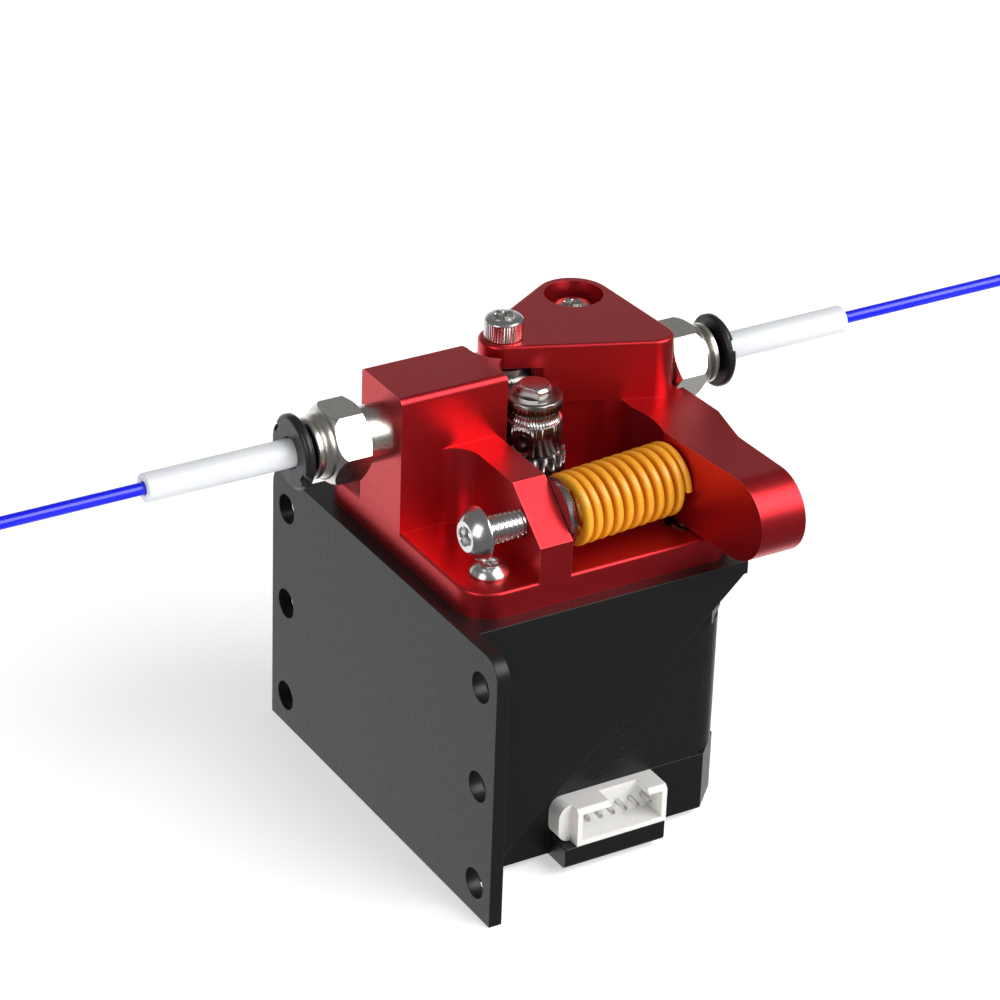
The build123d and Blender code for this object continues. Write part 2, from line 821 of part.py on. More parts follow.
def fitting_stations(neck):
    """Distances from the seat face to the hexagon's end and to the barrel's end."""
    hex_end = neck + hex_length
    return hex_end, hex_end + barrel_length


fittings = {
    "input": (base_left_x, -1, input_neck, tube_reach_in),
    "output": (motor_x + outlet_x, 1, output_neck, tube_reach_out),
}
collet_bore_r = collet_d / 2 + running_gap
o_ring_length = 1.8
gripper_length = 0.4
filament_starts = {"input": motor_x - axial_gap / 2, "output": motor_x + nip_gap}
filament_ends = {"input": motor_x - filament_in, "output": motor_x + filament_out}

for fitting_side, (seat_x, way, neck, tube_reach) in fittings.items():
    seat = Plane(origin=(seat_x, filament_y, filament_z), x_dir=(0, 1, 0), z_dir=(way, 0, 0))
    along = Plane(origin=(seat_x, filament_y, filament_z), x_dir=(way, 0, 0), z_dir=(0, -way, 0))
    fitting_axis = Axis((0, filament_y, filament_z), (1, 0, 0))
    hex_end, barrel_end = fitting_stations(neck)
    collet_inner = barrel_end - collet_depth
    gripper_inner = collet_inner - axial_gap - gripper_length
    o_ring_inner = gripper_inner - axial_gap - o_ring_length
    hex_corner_r = hex_flats / math.sqrt(3)

    with BuildPart() as fitting_body:
        with BuildSketch(seat.offset(-fitting_thread_length)):
            Circle(fitting_thread_d / 2)
        extrude(amount=fitting_thread_length)
        with BuildSketch(seat):
            Circle(fitting_neck_d / 2)
        extrude(amount=neck)
        with BuildSketch(seat.offset(neck)):
            RegularPolygon(hex_flats / 2, 6, major_radius=False)
        extrude(amount=hex_length)
        with BuildSketch(along):
            with BuildLine():
                Polyline(
                    (neck, hex_flats / 2 - 0.1),
                    (neck + 0.6, hex_corner_r + 0.05),
                    (neck, hex_corner_r + 0.05),
                    close=True,
                )
            make_face()
            with BuildLine():
                ThreePointArc(
                    (hex_end, hex_flats / 2 - 0.35),
                    (hex_end - 0.45, hex_corner_r - 0.45),
                    (hex_end - 1.5, hex_corner_r + 0.05),
                )
                Polyline(
                    (hex_end - 1.5, hex_corner_r + 0.05),
                    (hex_end, hex_corner_r + 0.05),
                    (hex_end, hex_flats / 2 - 0.35),
                )
            make_face()
        revolve(axis=fitting_axis, mode=Mode.SUBTRACT)
        # Barrel with its ring groove
        with BuildSketch(along):
            with BuildLine():
                Line((hex_end, 0), (hex_end, hex_flats / 2 - 0.35))
                ThreePointArc(
                    (hex_end, hex_flats / 2 - 0.35),
                    (hex_end + 0.75, barrel_d / 2 + 0.16),
                    (hex_end + 1.3, barrel_d / 2 - 0.25),
                )
                Polyline(
                    (hex_end + 1.3, barrel_d / 2 - 0.25),
                    (hex_end + 1.3, barrel_d / 2 - 0.55),
                    (hex_end + 1.6, barrel_d / 2 - 0.55),
                    (hex_end + 1.6, barrel_d / 2 - 0.1),
                    (barrel_end - 0.2, barrel_d / 2 - 0.1),
                    (barrel_end, barrel_d / 2 - 0.3),
                    (barrel_end, 0),
                    (hex_end, 0),
                )
            make_face()
        revolve(axis=fitting_axis)
        # Bores: filament, tube, O-ring and collet
        bores = [
            (-fitting_thread_length, barrel_end, tube_bore_d / 2 + running_gap),
            (tube_stop, barrel_end, tube_d / 2 + running_gap),
            (o_ring_inner, barrel_end, collet_bore_r),
        ]
        for low, high, radius in bores:
            with BuildSketch(seat.offset(low)):
                Circle(radius)
            extrude(amount=high - low, mode=Mode.SUBTRACT)
    fitting_body.part.label = f"{fitting_side}_fitting"
    export_step(fitting_body.part, f"parts/{fitting_side}_fitting.step")

    with BuildPart() as o_ring:
        with BuildSketch(seat.offset(o_ring_inner)):
            Circle(collet_bore_r)
            Circle(tube_d / 2 + 0.02, mode=Mode.SUBTRACT)
        extrude(amount=o_ring_length)
    o_ring.part.label = f"{fitting_side}_o_ring"
    export_step(o_ring.part, f"parts/{fitting_side}_o_ring.step")

    with BuildPart() as grip_ring:
        with BuildSketch(seat.offset(gripper_inner)):
            Circle(collet_bore_r)
            Circle(tube_d / 2 + 0.02, mode=Mode.SUBTRACT)
            with PolarLocations(tube_d / 2 + 0.3, 8):
                Rectangle(0.7, 0.25, mode=Mode.SUBTRACT)
        extrude(amount=gripper_length)
    grip_ring.part.label = f"{fitting_side}_grip_ring"
    export_step(grip_ring.part, f"parts/{fitting_side}_grip_ring.step")

    # Release collet: a sleeve in the barrel and a cap to press
    cap_inner = barrel_end + collet_travel_gap
    cap_outer = cap_inner + collet_cap_thick
    with BuildPart() as collet:
        with BuildSketch(along):
            with BuildLine():
                Polyline(
                    (collet_inner + collet_travel_gap, tube_d / 2 + running_gap),
                    (collet_inner + collet_travel_gap, collet_d / 2),
                    (cap_inner, collet_d / 2),
                    (cap_inner, collet_cap_d / 2 - 0.3),
                    (cap_inner + 0.3, collet_cap_d / 2),
                    (cap_outer - 0.5, collet_cap_d / 2),
                    (cap_outer, collet_cap_d / 2 - 0.5),
                    (cap_outer, tube_d / 2 + 0.4),
                    (cap_outer - 0.35, tube_d / 2 + running_gap),
                    close=True,
                )
            make_face()
        revolve(axis=fitting_axis)
        with BuildSketch(seat.offset(cap_outer)):
            with PolarLocations(collet_cap_d / 2, 2, start_angle=150):
                Rectangle(2.4, 1.5)
        extrude(amount=-0.7, mode=Mode.SUBTRACT)
    collet.part.label = f"{fitting_side}_collet"
    export_step(collet.part, f"parts/{fitting_side}_collet.step")

    with BuildPart() as tube:
        with BuildSketch(seat.offset(tube_stop)):
            Circle(tube_d / 2)
            Circle(tube_bore_d / 2, mode=Mode.SUBTRACT)
        extrude(amount=tube_reach)
    tube.part.label = f"{fitting_side}_tube"
    export_step(tube.part, f"parts/{fitting_side}_tube.step")

    with BuildPart() as filament:
        with BuildSketch(Plane.YZ.offset(filament_starts[fitting_side])):
            with Locations((filament_y, filament_z)):
                Circle(filament_d / 2)
        extrude(amount=filament_ends[fitting_side] - filament_starts[fitting_side])
    filament.part.label = f"{fitting_side}_filament"
    export_step(filament.part, f"parts/{fitting_side}_filament.step")

# ---------------------------------------------------------------- motor


def cut_square(size, corner):
    """Corner points of a square with cut corners."""
    half = size / 2
    cut = half - corner
    return [
        (half, -cut),
        (half, cut),
        (cut, half),
        (-cut, half),
        (-half, cut),
        (-half, -cut),
        (-cut, -half),
        (cut, -half),
    ]


cap_hollow_d = 36.0
cap_hollow_depth = 2.6
bolt_bore_d = 3.1
front_bearing_z = motor_face - 1.0 - bearing_width
rear_bearing_z = motor_bottom + 1.2

with BuildPart() as motor_front_cap:
    with BuildSketch(flat_at(stack_top)):
        with BuildLine():
            Polyline(*cut_square(motor_size, cap_corner), close=True)
        make_face()
    extrude(amount=front_cap_length)
    with BuildSketch(flat_at(motor_face)):
        Circle(pilot_d / 2)
    extrude(amount=pilot_height)
    with BuildSketch(flat_at(stack_top)):
        Circle(cap_hollow_d / 2)
    extrude(amount=cap_hollow_depth, mode=Mode.SUBTRACT)
    with BuildSketch(flat_at(stack_top)):
        Circle(bearing_d / 2)
    extrude(amount=front_bearing_z + bearing_width - stack_top, mode=Mode.SUBTRACT)
    with BuildSketch(flat_at(stack_top)):
        Circle(shaft_d / 2 + 1.0)
    extrude(amount=front_cap_length + pilot_height, mode=Mode.SUBTRACT)
    with BuildSketch(Plane.XY.offset(motor_face)):
        with Locations(*motor_bolt_places):
            Circle(screw_d / 2 + running_gap)
    extrude(amount=-thread_depth, mode=Mode.SUBTRACT)
    with BuildSketch(Plane.XY.offset(stack_top)):
        with Locations(*motor_bolt_places):
            Circle(bolt_bore_d / 2)
    extrude(amount=2.5, mode=Mode.SUBTRACT)
motor_front_cap.part.label = "motor_front_cap"
export_step(motor_front_cap.part, "parts/motor_front_cap.step")

stack_length = stack_top - stack_bottom
pole_reach_r = rotor_d / 2 + rotor_air_gap
slot_outer_r = 17.0
pole_width = 4.6
pole_tip = 1.2
tip_width = 7.0

with BuildPart() as motor_stack:
    with BuildSketch(flat_at(stack_bottom)):
        RectangleRounded(motor_size - 0.2, motor_size - 0.2, stack_corner)
        Circle(slot_outer_r, mode=Mode.SUBTRACT)
        with PolarLocations((pole_reach_r + slot_outer_r) / 2, pole_count):
            Rectangle(slot_outer_r - pole_reach_r + 2.0, pole_width)
        with PolarLocations(pole_reach_r + pole_tip / 2, pole_count):
            Rectangle(pole_tip + 1.0, tip_width)
        Circle(pole_reach_r, mode=Mode.SUBTRACT)
    extrude(amount=stack_length)
    with BuildSketch(Plane.XY.offset(stack_bottom)):
        with Locations(*motor_bolt_places):
            Circle(bolt_bore_d / 2)
    extrude(amount=stack_length, mode=Mode.SUBTRACT)
motor_stack.part.label = "motor_stack"
export_step(motor_stack.part, "parts/motor_stack.step")

coil_reach = 2.0
coil_inner_r = pole_reach_r + pole_tip + 1.0
coil_outer_r = slot_outer_r - 0.5
coil_width = 2.4

with BuildPart() as motor_coils:
    for pole in range(pole_count):
        coil_plane = Plane(
            origin=(motor_x, 0, stack_bottom - coil_reach),
            x_dir=(math.cos(2 * math.pi * pole / pole_count), math.sin(2 * math.pi * pole / pole_count), 0),
            z_dir=(0, 0, 1),
        )
        with BuildSketch(coil_plane):
            with Locations(((coil_inner_r + coil_outer_r) / 2, 0)):
                Rectangle(coil_outer_r - coil_inner_r, pole_width + coil_width)
        extrude(amount=stack_length + 2 * coil_reach)
        with BuildSketch(coil_plane.offset(coil_reach - axial_gap)):
            with Locations(((coil_inner_r + coil_outer_r) / 2, 0)):
                Rectangle(coil_outer_r - coil_inner_r + 1, pole_width + 2 * axial_gap)
        extrude(amount=stack_length + 2 * axial_gap, mode=Mode.SUBTRACT)
motor_coils.part.label = "motor_coils"
export_step(motor_coils.part, "parts/motor_coils.step")

with BuildPart() as motor_rear_cap:
    with BuildSketch(flat_at(motor_bottom)):
        with BuildLine():
            Polyline(*cut_square(motor_size, cap_corner), close=True)
        make_face()
    extrude(amount=rear_cap_length)
    with BuildSketch(flat_at(motor_bottom)):
        with Locations((0, -motor_half + ledge_root)):
            Rectangle(ledge_width, connector_depth + ledge_root, align=(Align.CENTER, Align.MAX))
    extrude(amount=rear_cap_length - connector_height)
    ledge_front = motor_rear_cap.faces().sort_by(Axis.Y)[0]
    fillet(ledge_front.edges().sort_by(Axis.Z)[0], radius=ledge_round)
    with BuildSketch(flat_at(stack_bottom)):
        Circle(cap_hollow_d / 2)
    extrude(amount=-cap_hollow_depth, mode=Mode.SUBTRACT)
    with BuildSketch(flat_at(stack_bottom)):
        Circle(bearing_d / 2)
    extrude(amount=rear_bearing_z - stack_bottom, mode=Mode.SUBTRACT)
    with BuildSketch(Plane.XY.offset(motor_bottom)):
        with Locations(*motor_bolt_places):
            Circle(bolt_bore_d / 2)
    extrude(amount=rear_cap_length, mode=Mode.SUBTRACT)
    with BuildSketch(Plane.XY.offset(motor_bottom)):
        with Locations(*motor_bolt_places):
            Circle(cap_head_d / 2 + 0.25)
    extrude(amount=1.9, mode=Mode.SUBTRACT)
motor_rear_cap.part.label = "motor_rear_cap"
export_step(motor_rear_cap.part, "parts/motor_rear_cap.step")

motor_bolt_head = 1.8
motor_bolt_top = stack_top + 2.3
with BuildPart() as motor_bolts:
    with BuildSketch(Plane.XY.offset(motor_bottom + 0.1)):
        with Locations(*motor_bolt_places):
            Circle(cap_head_d / 2)
    extrude(amount=motor_bolt_head)
    with BuildSketch(Plane.XY.offset(motor_bottom + 0.1)):
        with Locations(*motor_bolt_places):
            Circle(screw_d / 2)
    extrude(amount=motor_bolt_top - motor_bottom - 0.1)
    for angle in (0, 90):
        with BuildSketch(Plane.XY.offset(motor_bottom + 0.1)):
            with Locations(*motor_bolt_places):
                Rectangle(2.8, 0.6, rotation=angle)
        extrude(amount=0.9, mode=Mode.SUBTRACT)
motor_bolts.part.label = "motor_bolts"
export_step(motor_bolts.part, "parts/motor_bolts.step")

bearings = {"motor_front_bearing": front_bearing_z, "motor_rear_bearing": rear_bearing_z}
for bearing_name, bearing_z in bearings.items():
    with BuildPart() as bearing:
        with BuildSketch(flat_at(bearing_z)):
            Circle(bearing_d / 2)
            Circle(shaft_d / 2 + bore_gap, mode=Mode.SUBTRACT)
        extrude(amount=bearing_width)
        for shield_z, shield_way in ((bearing_z, 1), (bearing_z + bearing_width, -1)):
            with BuildSketch(flat_at(shield_z)):
                Circle(bearing_d / 2 - 1.5)
                Circle(shaft_d / 2 + 1.5, mode=Mode.SUBTRACT)
            extrude(amount=0.3 * shield_way, mode=Mode.SUBTRACT)
    bearing.part.label = bearing_name
    export_step(bearing.part, f"parts/{bearing_name}.step")

shaft_bottom = rear_bearing_z + 0.2
shaft_top = motor_face + shaft_reach
flat_length = 16.0
with BuildPart() as motor_shaft:
    with BuildSketch(flat_at(shaft_bottom)):
        Circle(shaft_d / 2)
    extrude(amount=shaft_top - shaft_bottom)
    chamfer(motor_shaft.faces().sort_by(Axis.Z)[-1].edges(), length=0.4)
    flat_plane = Plane(
        origin=(motor_x, 0, shaft_top),
        x_dir=(math.cos(math.radians(flat_angle)), math.sin(math.radians(flat_angle)), 0),
        z_dir=(0, 0, 1),
    )
    with BuildSketch(flat_plane):
        with Locations((shaft_flat, 0)):
            Rectangle(shaft_d, 2 * shaft_d, align=(Align.MIN, Align.CENTER))
    extrude(amount=-flat_length, mode=Mode.SUBTRACT)
motor_shaft.part.label = "motor_shaft"
export_step(motor_shaft.part, "parts/motor_shaft.step")

rotor_teeth = 50
cup_gap = 2.0
cup_length = (stack_length - 2 * cup_gap) / 2
rotor_bottom = (stack_top + stack_bottom - cup_gap) / 2 - cup_length
with BuildPart() as motor_rotor:
    for cup_bottom, cup_phase in ((rotor_bottom, 0.0), (rotor_bottom + cup_length + cup_gap, 0.5)):
        with BuildSketch(flat_at(cup_bottom)):
            Circle(rotor_d / 2)
            Circle(shaft_d / 2, mode=Mode.SUBTRACT)
            with PolarLocations(rotor_d / 2, rotor_teeth, start_angle=cup_phase * 360 / rotor_teeth):
                Rectangle(1.2, 0.65, mode=Mode.SUBTRACT)
        extrude(amount=cup_length)
    with BuildSketch(flat_at(rotor_bottom + cup_length)):
        Circle(rotor_d / 2 - 1.5)
        Circle(shaft_d / 2, mode=Mode.SUBTRACT)
    extrude(amount=cup_gap)
motor_rotor.part.label = "motor_rotor"
export_step(motor_rotor.part, "parts/motor_rotor.step")

# ---------------------------------------------------------------- connector

connector_x = motor_x + connector_shift
connector_bottom = motor_bottom + rear_cap_length - connector_height
connector_top = connector_bottom + connector_height
connector_front = -motor_half - connector_depth
cavity_depth = connector_depth - connector_back
ear_x = connector_x - connector_width / 2
pin_z = connector_bottom + connector_height / 2 + pin_lift
pin_places = [
    (motor_x + pin_shift + (pin - (connector_pins - 1) / 2) * pin_pitch, pin_z)
    for pin in range(connector_pins)
]

with BuildPart() as connector_housing:
    with BuildSketch(Plane.XY.offset(connector_bottom)):
        with Locations((connector_x, -motor_half)):
            Rectangle(connector_width, connector_depth, align=(Align.CENTER, Align.MAX))
    extrude(amount=connector_height)
    front_edges = connector_housing.faces().sort_by(Axis.Y)[0].edges()
    chamfer(front_edges.sort_by(Axis.Z)[-1], length=connector_chamfer)
    # Rounded ear on the side towards the bracket
    with BuildSketch(upright_at(-motor_half)):
        with Locations((ear_x, connector_bottom)):
            ear = Rectangle(2 * ear_width, connector_height, align=(Align.CENTER, Align.MIN))
        fillet(ear.vertices().sort_by(Axis.X)[:2], radius=ear_round)
    extrude(amount=ear_depth)
    with BuildSketch(upright_at(connector_front)):
        with Locations((connector_x, connector_bottom + connector_height / 2)):
            Rectangle(connector_width - 2 * connector_wall, connector_height - 2 * connector_wall)
    extrude(amount=-cavity_depth, mode=Mode.SUBTRACT)
    # Keying window in the upper wall
    with BuildSketch(upright_at(connector_front)):
        with Locations((motor_x + window_shift, connector_top)):
            Rectangle(window_width, 2 * connector_wall)
    extrude(amount=-window_depth, mode=Mode.SUBTRACT)
    with BuildSketch(upright_at(connector_front)):
        with Locations(*pin_places):
            Rectangle(pin_side, pin_side)
    extrude(amount=-connector_depth, mode=Mode.SUBTRACT)
connector_housing.part.label = "connector_housing"
export_step(connector_housing.part, "parts/connector_housing.step")

with BuildPart() as connector_pin_row:
    with BuildSketch(upright_at(connector_front + pin_setback)):
        with Locations(*pin_places):
            Rectangle(pin_side, pin_side)
    extrude(amount=-(connector_depth - pin_setback))
connector_pin_row.part.label = "connector_pins"
export_step(connector_pin_row.part, "parts/connector_pins.step")
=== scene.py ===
"""Looks of the dual-gear filament extruder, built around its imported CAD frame.

The camera, floor and lights are in metres. Pieces are sized in millimetres and
scaled by MM when they are placed. +Z is up.
"""

import json
import math

import bpy
from mathutils import Matrix, Vector


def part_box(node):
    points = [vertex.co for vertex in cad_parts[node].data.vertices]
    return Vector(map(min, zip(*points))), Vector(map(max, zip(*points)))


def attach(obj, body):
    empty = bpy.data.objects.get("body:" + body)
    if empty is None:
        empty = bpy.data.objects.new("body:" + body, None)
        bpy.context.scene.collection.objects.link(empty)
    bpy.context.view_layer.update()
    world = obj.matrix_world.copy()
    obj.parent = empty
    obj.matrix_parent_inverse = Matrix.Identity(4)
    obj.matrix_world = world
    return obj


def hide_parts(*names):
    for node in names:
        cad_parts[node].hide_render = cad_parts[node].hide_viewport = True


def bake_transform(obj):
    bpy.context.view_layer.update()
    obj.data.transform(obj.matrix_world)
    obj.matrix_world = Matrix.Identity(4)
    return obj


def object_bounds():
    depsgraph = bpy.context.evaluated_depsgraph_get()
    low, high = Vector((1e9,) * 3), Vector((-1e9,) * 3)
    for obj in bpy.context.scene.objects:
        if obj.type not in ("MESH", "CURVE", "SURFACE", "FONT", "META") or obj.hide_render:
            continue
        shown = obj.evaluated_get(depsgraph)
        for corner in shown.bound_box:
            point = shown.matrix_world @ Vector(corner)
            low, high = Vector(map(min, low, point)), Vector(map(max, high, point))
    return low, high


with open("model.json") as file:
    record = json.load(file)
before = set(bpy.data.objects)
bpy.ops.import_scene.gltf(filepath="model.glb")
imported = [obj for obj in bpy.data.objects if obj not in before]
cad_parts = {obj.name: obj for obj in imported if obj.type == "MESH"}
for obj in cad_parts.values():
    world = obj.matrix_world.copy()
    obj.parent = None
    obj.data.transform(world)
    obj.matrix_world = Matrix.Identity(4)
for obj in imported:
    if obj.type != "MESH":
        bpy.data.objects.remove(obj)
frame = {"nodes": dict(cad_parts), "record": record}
cad_nodes = frame["nodes"]
cad_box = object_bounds()

MM = 0.001


def in_mm(vector):
    """A vector in metres, given in millimetres."""
    return Vector(vector) / MM


def box_mm(node):
    """Lowest and highest corners of a CAD node's box, in millimetres."""
    return [in_mm(corner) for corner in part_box(node)]


def centre_of(node):
    """Middle of a CAD node's box, in metres."""
    low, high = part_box(node)
    return (low + high) / 2


# ---------------------------------------------------------------- camera, floor and light

motor_axis = centre_of("motor_shaft")
view_azimuth = math.radians(-31.42)
view_elevation = math.radians(28.74)
view_roll = math.radians(2.01)
view_distance = 0.56533
view_shift_right = -3.47 * MM
view_shift_up = 18.37 * MM
view_target_z = 3.3 * MM
lens_mm = 145.28
sensor_mm = 36.0
clip_near = 0.01
clip_far = 20.0
floor_half = 6.0
floor_drop = 0.05 * MM
light_aim = (0.02, 0, 0.02)
bright_side = (0.15, 0.75, -0.5)
bright_strength = 1.25
dim_strength = 0.16
bright_starts = 0.45
bright_full = 0.8


def make_camera():
    """A long lens that looks down on the bracket's near corner."""
    back = Vector(
        (
            math.sin(view_azimuth) * math.cos(view_elevation),
            -math.cos(view_azimuth) * math.cos(view_elevation),
            math.sin(view_elevation),
        )
    )
    level_right = Vector((math.cos(view_azimuth), math.sin(view_azimuth), 0))
    level_up = back.cross(level_right)
    right = level_right * math.cos(view_roll) + level_up * math.sin(view_roll)
    up = level_up * math.cos(view_roll) - level_right * math.sin(view_roll)
    data = bpy.data.cameras.new("camera")
    data.lens = lens_mm
    data.sensor_width = sensor_mm
    data.clip_start = clip_near
    data.clip_end = clip_far
    camera = bpy.data.objects.new("camera", data)
    bpy.context.scene.collection.objects.link(camera)
    target = Vector((motor_axis.x, motor_axis.y, view_target_z))
    place = target + back * view_distance + right * view_shift_right + up * view_shift_up
    turn = Matrix((right, up, back)).transposed()
    camera.matrix_world = Matrix.Translation(place) @ turn.to_4x4()
    bpy.context.scene.camera = camera


def make_floor():
    """A wide pale floor under the bracket, which doesn't mirror in the part's metal."""
    height = cad_box[0].z - floor_drop
    quarters = ((-1, -1), (1, -1), (1, 1), (-1, 1))
    corners = [(floor_half * x, floor_half * y, height) for x, y in quarters]
    mesh = bpy.data.meshes.new("floor")
    mesh.from_pydata(corners, [], [(0, 1, 2, 3)])
    floor = bpy.data.objects.new("floor", mesh)
    bpy.context.scene.collection.objects.link(floor)
    material = bpy.data.materials.new("floor_paper")
    material.use_nodes = True
    shader = material.node_tree.nodes["Principled BSDF"]
    shader.inputs["Base Color"].default_value = (0.9, 0.9, 0.9, 1)
    shader.inputs["Roughness"].default_value = 0.9
    shader.inputs["Specular IOR Level"].default_value = 0.1
    shader.inputs["Emission Color"].default_value = (1, 1, 1, 1)
    shader.inputs["Emission Strength"].default_value = 0.5
    mesh.materials.append(material)
    floor.visible_glossy = False


def make_light(name, place, size, watts):
    """A rectangular soft box at place, turned towards the part."""
    data = bpy.data.lights.new(name, "AREA")
    data.shape = "RECTANGLE"
    data.size = size[0]
    data.size_y = size[1]
    data.energy = watts
    light = bpy.data.objects.new(name, data)
    bpy.context.scene.collection.objects.link(light)
    light.location = place
    light.rotation_mode = "QUATERNION"
    light.rotation_quaternion = (Vector(light_aim) - Vector(place)).to_track_quat("-Z", "Y")


def make_surround():
    """A dim surround that is bright low down behind the part, as a white table is."""
    world = bpy.data.worlds.new("surround")
    bpy.context.scene.world = world
    world.use_nodes = True
    tree = world.node_tree
    background = tree.nodes["Background"]
    background.inputs["Color"].default_value = (0.97, 0.98, 1.0, 1)
    place = tree.nodes.new("ShaderNodeTexCoord")
    toward = tree.nodes.new("ShaderNodeVectorMath")
    toward.operation = "DOT_PRODUCT"
    toward.inputs[1].default_value = Vector(bright_side).normalized()
    tree.links.new(place.outputs["Generated"], toward.inputs[0])
    strength = tree.nodes.new("ShaderNodeMapRange")
    strength.interpolation_type = "SMOOTHSTEP"
    strength.inputs["From Min"].default_value = bright_starts
    strength.inputs["From Max"].default_value = bright_full
    strength.inputs["To Min"].default_value = dim_strength
    strength.inputs["To Max"].default_value = bright_strength
    tree.links.new(toward.outputs["Value"], strength.inputs["Value"])
    tree.links.new(strength.outputs["Result"], background.inputs["Strength"])


def make_studio():
    """A large key box on the right and a small fill on the left."""
    make_surround()
    make_light("key_box", (0.5, -0.66, 0.7), (1.0, 0.8), 12.0)
    make_light("fill_box", (-0.9, -0.3, 0.4), (0.5, 0.7), 3.2)


make_camera()
make_floor()
make_studio()

# ---------------------------------------------------------------- material helpers


def shader_of(material):
    """The material's Principled node."""
    return material.node_tree.nodes["Principled BSDF"]


def new_material(name, color, metallic, roughness, **sockets):
    """A Principled material. Extra sockets are given by name, with _ for each space."""
    material = bpy.data.materials.new(name)
    material.use_nodes = True
    shader = shader_of(material)
    shader.inputs["Base Color"].default_value = (*color, 1)
    shader.inputs["Metallic"].default_value = metallic
    shader.inputs["Roughness"].default_value = roughness
    for socket, value in sockets.items():
        shader.inputs[socket.replace("_", " ")].default_value = value
    return material


def noise(material, scale, detail=3.0, stretch=(1, 1, 1)):
    """Noise in the part's frame: scale is in features per metre. Returns its output socket."""
    tree = material.node_tree
    place = tree.nodes.new("ShaderNodeTexCoord")
    mapping = tree.nodes.new("ShaderNodeMapping")
    mapping.inputs["Scale"].default_value = stretch
    texture = tree.nodes.new("ShaderNodeTexNoise")
    texture.inputs["Scale"].default_value = scale
    texture.inputs["Detail"].default_value = detail
    tree.links.new(place.outputs["Object"], mapping.inputs["Vector"])
    tree.links.new(mapping.outputs["Vector"], texture.inputs["Vector"])
    return texture.outputs["Fac"]


def spread(material, source, low, high):
    """The source's middle range, stretched to run from low to high."""
    node = material.node_tree.nodes.new("ShaderNodeMapRange")
    node.inputs["From Min"].default_value = 0.3
    node.inputs["From Max"].default_value = 0.7
    node.inputs["To Min"].default_value = low
    node.inputs["To Max"].default_value = high
    material.node_tree.links.new(source, node.inputs["Value"])
    return node.outputs["Result"]


def vary_roughness(material, source, low, high):
    """Roughness that runs from low to high with the source."""
    roughness = shader_of(material).inputs["Roughness"]
    material.node_tree.links.new(spread(material, source, low, high), roughness)


def set_color(material, share, first, second):
    """Base color that goes from first to second by share."""
    tree = material.node_tree
    node = tree.nodes.new("ShaderNodeMix")
    node.data_type = "RGBA"
    tree.links.new(share, node.inputs[0])
    color_sockets = [socket for socket in node.inputs if socket.type == "RGBA"]
    for socket, color in zip(color_sockets, (first, second)):
        socket.default_value = (*color, 1)
    mixed = [socket for socket in node.outputs if socket.type == "RGBA"][0]
    tree.links.new(mixed, shader_of(material).inputs["Base Color"])


def add_bump(material, height, strength, distance_mm):
    """Bump from a height socket."""
    tree = material.node_tree
    node = tree.nodes.new("ShaderNodeBump")
    node.inputs["Strength"].default_value = strength
    node.inputs["Distance"].default_value = distance_mm * MM
    tree.links.new(height, node.inputs["Height"])
    tree.links.new(node.outputs["Normal"], shader_of(material).inputs["Normal"])


def edge_share(material, radius_mm, gain):
    """1 near a sharp outer edge and 0 on flat faces, from the difference that a bevel makes."""
    tree = material.node_tree
    bevel = tree.nodes.new("ShaderNodeBevel")
    bevel.samples = 4
    bevel.inputs["Radius"].default_value = radius_mm * MM
    geometry = tree.nodes.new("ShaderNodeNewGeometry")
    dot = tree.nodes.new("ShaderNodeVectorMath")
    dot.operation = "DOT_PRODUCT"
    tree.links.new(bevel.outputs["Normal"], dot.inputs[0])
    tree.links.new(geometry.outputs["Normal"], dot.inputs[1])
    share = tree.nodes.new("ShaderNodeMapRange")
    share.inputs["From Min"].default_value = 1.0
    share.inputs["From Max"].default_value = 1.0 - 1.0 / gain
    share.inputs["To Min"].default_value = 0.0
    share.inputs["To Max"].default_value = 1.0
    tree.links.new(dot.outputs["Value"], share.inputs["Value"])
    return share.outputs["Result"]


# ---------------------------------------------------------------- materials


def anodised_red():
    """Fine bead-blasted aluminium with a red anodised film, and a painted highlight that makes its
    sharp edges paler.
    """
    material = new_material(
        "red_anodised", (0.55, 0.012, 0.02), 0.9, 0.36, Coat_Weight=0.35, Coat_Roughness=0.42
    )
    vary_roughness(material, noise(material, 900, 4), 0.33, 0.41)
    # painted highlight: sharp edges are coloured a paler red, standing in for the bright lines that
    # light draws along them
    painted_edge_highlight = edge_share(material, 0.22, 6)
    set_color(material, painted_edge_highlight, (0.6, 0.012, 0.02), (0.85, 0.09, 0.095))
    add_bump(material, noise(material, 9000, 2), 0.12, 0.02)
    return material


def black_paint(name, roughness, grain_scale, grain_strength):
    """Satin black coat with a fine orange-peel grain and a faint painted highlight that greys its
    sharp edges.
    """
    material = new_material(name, (0.012, 0.012, 0.0125), 0.0, roughness, Specular_IOR_Level=0.42)
    vary_roughness(material, noise(material, 900, 5), roughness - 0.02, roughness + 0.03)
    # painted highlight: sharp edges are coloured a lighter grey-black, standing in for thin bright
    # edge lines
    painted_edge_sheen = edge_share(material, 0.2, 4)
    set_color(material, painted_edge_sheen, (0.008, 0.008, 0.0085), (0.03, 0.03, 0.031))
    add_bump(material, noise(material, grain_scale, 2), grain_strength, 0.03)
    return material


def steel(name, color, low, high, turned=(1, 1, 1)):
    """Bright metal whose roughness varies in fine machining marks."""
    material = new_material(name, color, 1.0, (low + high) / 2)
    vary_roughness(material, noise(material, 2500, 4, turned), low, high)
    dark = tuple(c * 0.9 for c in color)
    set_color(material, noise(material, 700, 3, turned), dark, color)
    add_bump(material, noise(material, 6000, 2, turned), 0.08, 0.01)
    return material


